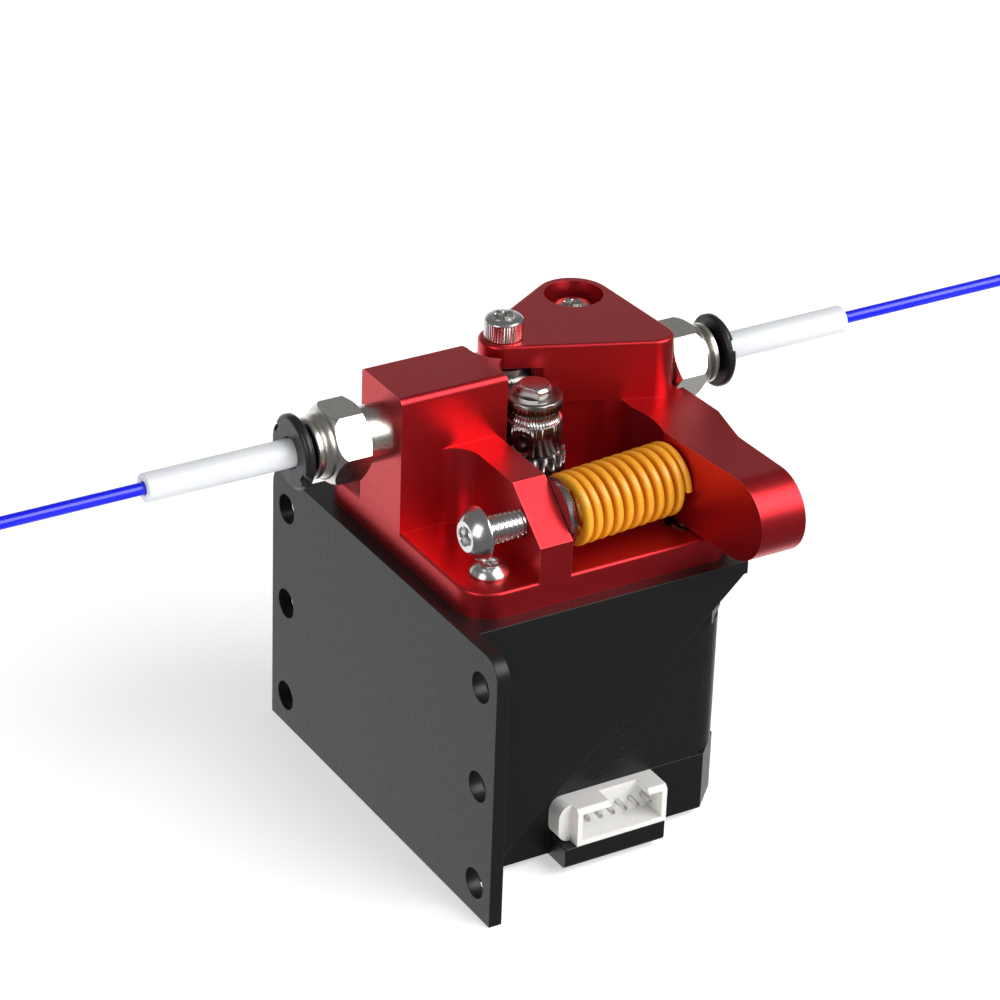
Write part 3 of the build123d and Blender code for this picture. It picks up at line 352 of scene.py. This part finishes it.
def spring_paint():
    """Thick yellow-orange paint with small runs and speckle."""
    material = new_material(
        "spring_paint", (0.86, 0.33, 0.012), 0.0, 0.3, Coat_Weight=0.5, Coat_Roughness=0.14
    )
    speckle = noise(material, 2600, 4)
    set_color(material, speckle, (0.86, 0.31, 0.008), (1.0, 0.5, 0.03))
    vary_roughness(material, noise(material, 1200, 3), 0.24, 0.42)
    add_bump(material, noise(material, 1500, 3), 0.35, 0.08)
    return material


def tube_plastic():
    """Milky white fluoropolymer tube with soft light inside it."""
    material = new_material(
        "tube_plastic", (0.88, 0.89, 0.91), 0.0, 0.34,
        Subsurface_Weight=0.35, Subsurface_Scale=1.5 * MM, Transmission_Weight=0.08,
    )
    set_color(material, noise(material, 400, 2, (0.15, 1, 1)), (0.82, 0.83, 0.86), (0.92, 0.93, 0.95))
    vary_roughness(material, noise(material, 900, 3, (0.2, 1, 1)), 0.28, 0.4)
    add_bump(material, noise(material, 1500, 2, (0.1, 1, 1)), 0.1, 0.02)
    return material


def filament_plastic():
    """Saturated blue filament with faint drawing lines along it."""
    material = new_material(
        "filament_plastic", (0.0, 0.0, 0.85), 0.0, 0.28, Coat_Weight=0.3, Coat_Roughness=0.1
    )
    lines = noise(material, 1500, 2, (0.05, 1, 1))
    set_color(material, lines, (0.0, 0.0, 0.7), (0.01, 0.02, 0.95))
    vary_roughness(material, lines, 0.22, 0.36)
    add_bump(material, noise(material, 2500, 2, (0.1, 1, 1)), 0.1, 0.01)
    return material


def moulded(name, dark, light, low, high, grain=3000, strength=0.12, **sockets):
    """Injection-moulded plastic with a faint mould grain."""
    material = new_material(name, light, 0.0, (low + high) / 2, **sockets)
    set_color(material, noise(material, 250, 3), dark, light)
    vary_roughness(material, noise(material, 800, 3), low, high)
    add_bump(material, noise(material, grain, 3), strength, 0.015)
    return material


materials = {
    "red_aluminium": anodised_red(),
    "bracket_paint": black_paint("bracket_black", 0.42, 2600, 0.12),
    "motor_paint": black_paint("motor_black", 0.38, 1800, 0.2),
    "stack_paint": black_paint("stack_black", 0.34, 2200, 0.15),
    "screw_steel": steel("screw_bright", (0.76, 0.755, 0.74), 0.2, 0.28),
    "seat_steel": steel("seat_bright", (0.62, 0.62, 0.62), 0.2, 0.32),
    "shaft_steel": steel("shaft_bright", (0.7, 0.69, 0.68), 0.16, 0.26, (1, 1, 0.2)),
    "gear_steel": steel("gear_grey", (0.3, 0.28, 0.265), 0.24, 0.38, (0.2, 0.2, 1)),
    "grub_steel": steel("grub_dark", (0.08, 0.08, 0.085), 0.28, 0.4),
    "bearing_steel": steel("bearing_bright", (0.62, 0.62, 0.62), 0.18, 0.28),
    "rotor_iron": steel("rotor_grey", (0.32, 0.31, 0.3), 0.3, 0.45),
    "bush_brass": steel("bush_brass", (0.72, 0.52, 0.24), 0.22, 0.34),
    "copper": steel("winding_copper", (0.62, 0.25, 0.1), 0.28, 0.42),
    "pin_metal": steel("pin_bright", (0.75, 0.74, 0.72), 0.18, 0.3),
    "fitting_nickel": steel("nickel_plate", (0.74, 0.71, 0.65), 0.26, 0.34, (1, 0.25, 0.25)),
    "grip_steel": steel("grip_bright", (0.6, 0.6, 0.6), 0.22, 0.32),
    "connector_nylon": moulded(
        "connector_white", (0.78, 0.77, 0.74), (0.86, 0.855, 0.83), 0.36, 0.48,
        Subsurface_Weight=0.25, Subsurface_Scale=0.8 * MM,
    ),
    "seal_rubber": moulded("seal_black", (0.012, 0.012, 0.012), (0.02, 0.02, 0.02), 0.5, 0.62),
    "collet_black": moulded("collet_black", (0.008, 0.008, 0.009), (0.014, 0.014, 0.015), 0.3, 0.42),
    "tube_white": tube_plastic(),
    "filament_blue": filament_plastic(),
    "spring_yellow": spring_paint(),
}

# ---------------------------------------------------------------- mesh helpers


def place_piece(name, points, faces, slot, sharp_degrees=30):
    """A mesh piece from points in millimetres of the part's frame, with its slot's material."""
    mesh = bpy.data.meshes.new(name)
    mesh.from_pydata([Vector(p) * MM for p in points], [], faces)
    mesh.materials.append(materials[slot])
    mesh.shade_smooth()
    mesh.set_sharp_from_angle(angle=math.radians(sharp_degrees))
    piece = bpy.data.objects.new(name, mesh)
    bpy.context.scene.collection.objects.link(piece)
    return piece


def loft(rings, closed=False):
    """Points and faces of a skin over equal rings of points, capped at both ends unless closed."""
    count = len(rings[0])
    points = [p for ring in rings for p in ring]
    faces = []
    last = len(rings) if closed else len(rings) - 1
    for i in range(last):
        a = i * count
        b = (i + 1) % len(rings) * count
        for j in range(count):
            k = (j + 1) % count
            faces.append((a + j, a + k, b + k, b + j))
    if not closed:
        faces.append(tuple(reversed(range(count))))
        faces.append(tuple(range(len(points) - count, len(points))))
    return points, faces


def turned_rings(origin, axis, stations, count):
    """Rings about an axis: each station is (distance along it, radius function of the angle)."""
    along = Vector(axis).normalized()
    side = Vector((0, 0, 1)) if abs(along.z) < 0.5 else Vector((1, 0, 0))
    across = along.cross(side).normalized()
    other = along.cross(across)
    rings = []
    for distance, radius in stations:
        ring = []
        for j in range(count):
            angle = 2 * math.pi * j / count
            outward = across * math.cos(angle) + other * math.sin(angle)
            ring.append(Vector(origin) + along * distance + outward * radius(angle))
        rings.append(ring)
    return rings


def circle(radius):
    """The same radius all the way round."""
    return lambda angle: radius


def hexagon(flats):
    """Radius of a hexagon with that distance across its flats."""
    return lambda angle: flats / 2 / math.cos((angle + math.pi / 6) % (math.pi / 3) - math.pi / 6)


def knurl(radius, depth, ridges):
    """Radius of a ring with straight knurl ridges."""
    return lambda angle: radius - depth * abs(math.sin(ridges * angle / 2)) ** 0.7


def thread(radius, pitch, distance):
    """Radius of a helical thread at that distance along its axis, with flat crests and roots."""
    depth = 0.58 * pitch

    def at(angle):
        turn = (distance / pitch - angle / (2 * math.pi)) % 1
        flank = abs(turn - 0.5) * 2
        return radius - depth * min(1, max(0, 1.25 * flank - 0.1))

    return at


def socket_stations(top, flats, depth):
    """A chamfered hexagon socket sunk from the top of a head."""
    chamfer = 0.12
    cone_start = 0.15
    cone_end = 0.4
    return [
        (top, circle(flats / 2 * 1.2)),
        (top - chamfer, hexagon(flats)),
        (top - depth, hexagon(flats)),
        (top - depth - cone_start, hexagon(flats * 0.8)),
        (top - depth - cone_end, circle(0.1)),
    ]


def cap_head(radius, height, flats):
    """Stations of a knurled cap head that stands on distance 0."""
    ridges = 48
    knurl_depth = 0.1
    return [
        (0.0, circle(radius * 0.6)),
        (0.0, circle(radius - 0.2)),
        (0.15, circle(radius - 0.05)),
        (0.3, knurl(radius, knurl_depth, ridges)),
        (height - 0.55, knurl(radius, knurl_depth, ridges)),
        (height - 0.42, circle(radius - 0.02)),
        (height - 0.3, circle(radius - 0.06)),
        (height - 0.1, circle(radius - 0.28)),
        (height, circle(radius - 0.5)),
    ] + socket_stations(height, flats, height * 0.5)


def button_head(radius, height, flats):
    """Stations of a domed button head that stands on distance 0."""
    rim = 0.3
    crown = 0.56 * radius
    drop = ((radius**2 - crown**2) / (height - rim) - (height - rim)) / 2
    ball = math.sqrt(radius**2 + drop**2)
    steps = 12
    stations = [(0.0, circle(radius * 0.5)), (0.0, circle(radius - 0.1)), (0.1, circle(radius))]
    for step in range(steps + 1):
        rise = (height - rim) * step / steps
        stations.append((rim + rise, circle(math.sqrt(ball**2 - (drop + rise) ** 2))))
    return stations + socket_stations(height, flats, height * 0.55)


# ---------------------------------------------------------------- screws

m3_radius = 1.5
m3_cap_height = 3.0
m3_hexagon = 2.5
m3_button_hexagon = 2.0
m3_tip = 0.3
m4_radius = 2.0
m4_hexagon = 2.5
facets = 180


def make_screw(name, node, place, axis, head, shank_length, body):
    """A head with its plain shank below, standing at place with the head along axis."""
    shank = [
        (-shank_length, circle(m3_radius - m3_tip)),
        (-shank_length + m3_tip, circle(m3_radius)),
        (-0.01, circle(m3_radius)),
    ]
    rings = turned_rings(place, axis, shank + head, facets)
    piece = place_piece(name, *loft(rings), "screw_steel", 28)
    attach(piece, body)
    if node:
        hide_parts(node)


def make_upright_screws():
    """The idler's axle, the pivot screw and the base's button screws."""
    up = (0, 0, 1)
    for node, body in (("idler_axle", "lever"), ("pivot_screw", "root")):
        low, high = box_mm(node)
        radius = (high.x - low.x) / 2
        place = Vector(((low.x + high.x) / 2, (low.y + high.y) / 2, high.z - m3_cap_height))
        head = cap_head(radius, m3_cap_height, m3_hexagon)
        make_screw(f"{node}_detailed", node, place, up, head, place.z - low.z, body)
    low, high = box_mm("base_screws")
    head_radius = 2.8
    head_height = 1.65
    recess = 2.2
    places = [
        (low.x + head_radius, low.y + head_radius, high.z - head_height),
        (low.x + head_radius, high.y - head_radius, high.z - head_height),
        (high.x - head_radius, low.y + head_radius, high.z - head_height - recess),
    ]
    for number, place in enumerate(places):
        head = button_head(head_radius, head_height, m3_button_hexagon)
        node = "base_screws" if number == 0 else None
        make_screw(f"base_screw_{number}", node, place, up, head, place[2] - low.z, "root")


def make_tension_screw():
    """The M4 button-head screw with a rolled thread."""
    low, high = box_mm("tension_screw")
    head_height = 2.3
    head_radius = (high.y - low.y) / 2
    axis_y = (low.y + high.y) / 2
    axis_z = (low.z + high.z) / 2
    length = high.x - low.x - head_height
    pitch = 0.7
    per_turn = 14
    count = int(length / pitch * per_turn)
    stations = [(-length, circle(1.2)), (-length + 0.3, circle(1.55))]
    for i in range(1, count):
        distance = -length + 0.35 + (length - 0.5) * i / count
        stations.append((distance, thread(m4_radius, pitch, distance)))
    stations.append((-0.05, circle(1.7)))
    stations += button_head(head_radius, head_height, m4_hexagon)
    rings = turned_rings((low.x + head_height, axis_y, axis_z), (-1, 0, 0), stations, 120)
    piece = place_piece("tension_screw_detailed", *loft(rings), "screw_steel", 30)
    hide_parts("tension_screw")
    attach(piece, "tension_screw")


make_upright_screws()
make_tension_screw()

# ---------------------------------------------------------------- spring

spring_tilt = math.radians(5.3)
spring_radius = 5.15
wire_axial = 1.05
wire_radial = 1.6
spring_turns = 10.5
closed_turns = 0.75
closed_pitch = 1.08 * wire_axial


def make_spring():
    """The painted die spring in two halves."""
    low, high = box_mm("tension_spring")
    along = Vector((math.cos(spring_tilt), math.sin(spring_tilt), 0))
    across = Vector((-math.sin(spring_tilt), math.cos(spring_tilt), 0))
    up = Vector((0, 0, 1))
    length = (high.x - low.x - 2 * spring_radius * math.sin(spring_tilt)) / math.cos(spring_tilt)
    start = Vector(
        (
            low.x + spring_radius * math.sin(spring_tilt),
            low.y + spring_radius * math.cos(spring_tilt),
            (low.z + high.z) / 2,
        )
    )
    mean_radius = spring_radius - wire_radial / 2
    per_turn = 48
    squareness = 0.62
    section_points = 20

    def advance(turn):
        """Distance along the axis of the wire's middle, with closed end turns."""
        if turn < closed_turns:
            return wire_axial / 2 + closed_pitch * turn
        if turn > spring_turns - closed_turns:
            return length - wire_axial / 2 - closed_pitch * (spring_turns - turn)
        closed_run = closed_pitch * closed_turns
        open_run = length - wire_axial - 2 * closed_run
        open_turns = spring_turns - 2 * closed_turns
        return wire_axial / 2 + closed_run + open_run * (turn - closed_turns) / open_turns

    def section(turn):
        """One rounded rectangle of the wire, ground flat at the spring's ends."""
        angle = 2 * math.pi * turn
        radial = across * math.cos(angle) + up * math.sin(angle)
        ring = []
        for k in range(section_points):
            t = 2 * math.pi * k / section_points
            c, s = math.cos(t), math.sin(t)
            r = math.copysign(abs(c) ** squareness, c) * wire_radial / 2
            a = math.copysign(abs(s) ** squareness, s) * wire_axial / 2
            distance = min(max(advance(turn) + a, 0.0), length)
            ring.append(start + along * distance + radial * (mean_radius + r))
        return ring

    middle = spring_turns / 2
    halves = (
        ("tension_spring_seat_half", 0.0, middle, "spring_seat", "root"),
        ("tension_spring_lever_half", middle, spring_turns, "root", "lever"),
    )
    for name, first, last, body_a, body_b in halves:
        steps = int((last - first) * per_turn)
        rings = [section(first + (last - first) * i / steps) for i in range(steps + 1)]
        piece = place_piece(name, *loft(rings), "spring_yellow", 50)
        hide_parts("tension_spring")
        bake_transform(piece)


make_spring()

# ---------------------------------------------------------------- hob teeth

hob_ring_teeth = 56
hob_tooth_rise = 0.12
hob_sink = 0.03  # how far the teeth's roots lie inside the gear
hob_clear_share = 0.8  # of the gap between the groove and the filament
hob_groove_radius = 0.925
hob_filament_radius = 0.875
hob_groove_centre = 4.25
hob_reach = 4.0
hob_core = 2.8
hob_half_height = 0.84


def make_hob(node, axle, body):
    """Fine teeth that stand in a gear's filament groove and stop short of the filament."""
    centre = in_mm(centre_of(axle))
    centre.z = in_mm(centre_of("input_filament")).z

    def tooth(base, rise):
        """Radius of a ring of pointed teeth that stand that much above their base."""
        return lambda angle: base + rise * (1 - abs(2 * (hob_ring_teeth * angle / math.tau % 1) - 1))

    steps = 10
    stations = [(-hob_half_height, circle(hob_core))]
    for step in range(steps + 1):
        height = hob_half_height * (2 * step / steps - 1)
        groove_reach = math.sqrt(hob_groove_radius**2 - height**2)
        filament_reach = math.sqrt(hob_filament_radius**2 - height**2)
        rise = min(hob_tooth_rise, hob_sink + hob_clear_share * (groove_reach - filament_reach))
        floor_radius = hob_groove_centre - groove_reach
        stations.append((height, tooth(min(floor_radius, hob_reach) - hob_sink, rise)))
    stations.append((hob_half_height, circle(hob_core)))
    rings = turned_rings(centre, (0, 0, 1), stations, 6 * hob_ring_teeth)
    piece = place_piece(f"{node}_hob_teeth", *loft(rings), "shaft_steel", 12)
    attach(piece, body)


make_hob("drive_gear", "motor_rotor", "rotor")
make_hob("idler_gear", "idler_bearing_lower", "idler")

# ---------------------------------------------------------------- motor stack

stack_corner = 6.5
sheet_goal = 0.5
sheet_rise = 0.03
sleeve_gap = 0.02
sleeve_depth = 0.3
# Heights of the dark pieces that paint the shade in the stack's slots, and how far right of the
# stack's middle they are
stack_slot_shade_levels = (-0.94, -3.07, -5.05, -7.0)
stack_slot_shade_x = 3.3
stack_slot_shade_half = (0.45, 0.12)
stack_slot_shade_proud = 0.11
stack_slot_shade_sunk = 0.05


def rounded_square(half, corner, steps=8):
    """Points of a square with round corners about the origin."""
    points = []
    for quarter in range(4):
        base = math.pi / 2 * quarter
        cx = (half - corner) * (1 if quarter in (0, 3) else -1)
        cy = (half - corner) * (1 if quarter in (0, 1) else -1)
        for step in range(steps + 1):
            angle = base + math.pi / 2 * step / steps
            points.append((cx + corner * math.cos(angle), cy + corner * math.sin(angle)))
    return points


def make_laminations():
    """A thin sleeve of stamped sheet edges round the motor's stack."""
    low, high = box_mm("motor_stack")
    centre = (low + high) / 2
    half = (high.x - low.x) / 2
    count = int((high.z - low.z) / sheet_goal)
    sheet = (high.z - low.z) / count
    rings = []

    def ring(reach, z):
        """A ring that stands that far outside the stack."""
        outline = rounded_square(half + reach, stack_corner + reach)
        return [(centre.x + x, centre.y + y, z) for x, y in outline]

    for i in range(count):
        z = low.z + i * sheet
        rings.append(ring(sleeve_gap, z + sleeve_gap))
        rings.append(ring(sleeve_gap + sheet_rise, z + 0.12 * sheet + sleeve_gap))
        rings.append(ring(sleeve_gap + sheet_rise, z + 0.82 * sheet))
    rings.append(ring(sleeve_gap, high.z - sleeve_gap))
    rings.append(ring(-sleeve_depth, high.z - sleeve_gap))
    rings.append(ring(-sleeve_depth, low.z + sleeve_gap))
    piece = place_piece("motor_laminations", *loft(rings, closed=True), "stack_paint", 20)
    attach(piece, "root")


def make_stack_slot_shade():
    """Four short dark pieces on the near face of the stack: painted shade where its slots are."""
    low, high = box_mm("motor_stack")
    middle_x = (low.x + high.x) / 2 + stack_slot_shade_x
    half_width, half_height = stack_slot_shade_half
    points = []
    faces = []
    for level in stack_slot_shade_levels:
        base = len(points)
        for y in (low.y - stack_slot_shade_proud, low.y + stack_slot_shade_sunk):
            for x, z in ((-1, -1), (1, -1), (1, 1), (-1, 1)):
                points.append((middle_x + x * half_width, y, level + z * half_height))
        sides = [(0, 1, 2, 3), (7, 6, 5, 4), (0, 4, 5, 1), (1, 5, 6, 2), (2, 6, 7, 3), (3, 7, 4, 0)]
        faces += [tuple(base + corner for corner in face) for face in sides]
    # near-black pieces stand in for the shade inside the stack's slots
    piece = place_piece("motor_stack_slot_shade", points, faces, "seal_rubber")
    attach(piece, "root")


make_laminations()
make_stack_slot_shade()

# ---------------------------------------------------------------- tubes and filament

tube_radius = 2.0
tube_bore_radius = 1.0
tube_rim = 0.12
filament_radius = 0.875


def make_tube(node, body, way):
    """A tube with its open bore, along X to the side that way points."""
    low, high = box_mm(node)
    centre = (low + high) / 2
    near, far = (low.x, high.x) if way > 0 else (high.x, low.x)
    length = abs(far - near)
    profile = [
        (0.0, tube_bore_radius),
        (0.0, tube_radius - tube_rim),
        (tube_rim, tube_radius),
        (length * 0.25, tube_radius),
        (length * 0.5, tube_radius),
        (length * 0.75, tube_radius),
        (length - tube_rim, tube_radius),
        (length, tube_radius - tube_rim),
        (length, tube_bore_radius),
        (length * 0.5, tube_bore_radius),
    ]
    stations = [(distance, circle(radius)) for distance, radius in profile]
    rings = turned_rings((near, centre.y, centre.z), (way, 0, 0), stations, 64)
    piece = place_piece(f"{node}_detailed", *loft(rings, closed=True), "tube_white", 40)
    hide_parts(node)
    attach(piece, body)


def make_filament(node, body, way):
    """A straight run of filament along X, as a smooth curve."""
    low, high = box_mm(node)
    centre = (low + high) / 2
    near, far = (low.x, high.x) if way > 0 else (high.x, low.x)
    curve = bpy.data.curves.new(f"{node}_curve", "CURVE")
    curve.dimensions = "3D"
    curve.bevel_depth = filament_radius * MM
    curve.bevel_resolution = 8
    curve.use_fill_caps = True
    spline = curve.splines.new("NURBS")
    steps = 4
    spline.points.add(steps)
    for i, point in enumerate(spline.points):
        x = near + (far - near) * i / steps
        point.co = (x * MM, centre.y * MM, centre.z * MM, 1)
    spline.order_u = 3
    spline.use_endpoint_u = True
    curve.materials.append(materials["filament_blue"])
    piece = bpy.data.objects.new(f"{node}_detailed", curve)
    bpy.context.scene.collection.objects.link(piece)
    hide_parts(node)
    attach(piece, body)


make_tube("input_tube", "root", -1)
make_tube("output_tube", "lever", 1)
make_filament("input_filament", "root", -1)
make_filament("output_filament", "lever", 1)

# ---------------------------------------------------------------- CAD nodes that keep their shape


weld_mm = 0.002
flat_degrees = 0.4
sharp_edge_degrees = 32


def finish_node(node, slot, edge_mm):
    """Gives a CAD node its material, and small rounded edges where edge_mm isn't 0."""
    piece = cad_nodes[node]
    mesh = piece.data
    mesh.materials.clear()
    mesh.materials.append(materials[slot])
    if "custom_normal" in mesh.attributes:
        mesh.attributes.remove(mesh.attributes["custom_normal"])
    mesh.shade_smooth()
    weld = piece.modifiers.new("weld", "WELD")
    weld.merge_threshold = weld_mm * MM
    flat = piece.modifiers.new("flat_faces", "DECIMATE")
    flat.decimate_type = "DISSOLVE"
    flat.angle_limit = math.radians(flat_degrees)
    if edge_mm:
        bevel = piece.modifiers.new("edges", "BEVEL")
        bevel.width = edge_mm * MM
        bevel.segments = 2
        bevel.limit_method = "ANGLE"
        bevel.angle_limit = math.radians(sharp_edge_degrees)
        bevel.miter_outer = "MITER_ARC"
        bevel.use_clamp_overlap = True
        bevel.harden_normals = False
    weighted = piece.modifiers.new("weighted_normals", "WEIGHTED_NORMAL")
    weighted.keep_sharp = True
    weighted.weight = 60


edge_sizes = {
    "bracket": 0.18,
    "extruder_base": 0.16,
    "lever": 0.16,
    "motor_front_cap": 0.25,
    "motor_rear_cap": 0.25,
    "connector_housing": 0.12,
    "input_fitting": 0.1,
    "output_fitting": 0.1,
    "motor_shaft": 0.06,
}
for row in frame["record"]["subparts"]:
    node_name = row["node"]
    if not cad_nodes[node_name].hide_render:
        finish_node(node_name, row["material_slot"], edge_sizes.get(node_name, 0))

bpy.context.scene.view_settings.view_transform = "Standard"
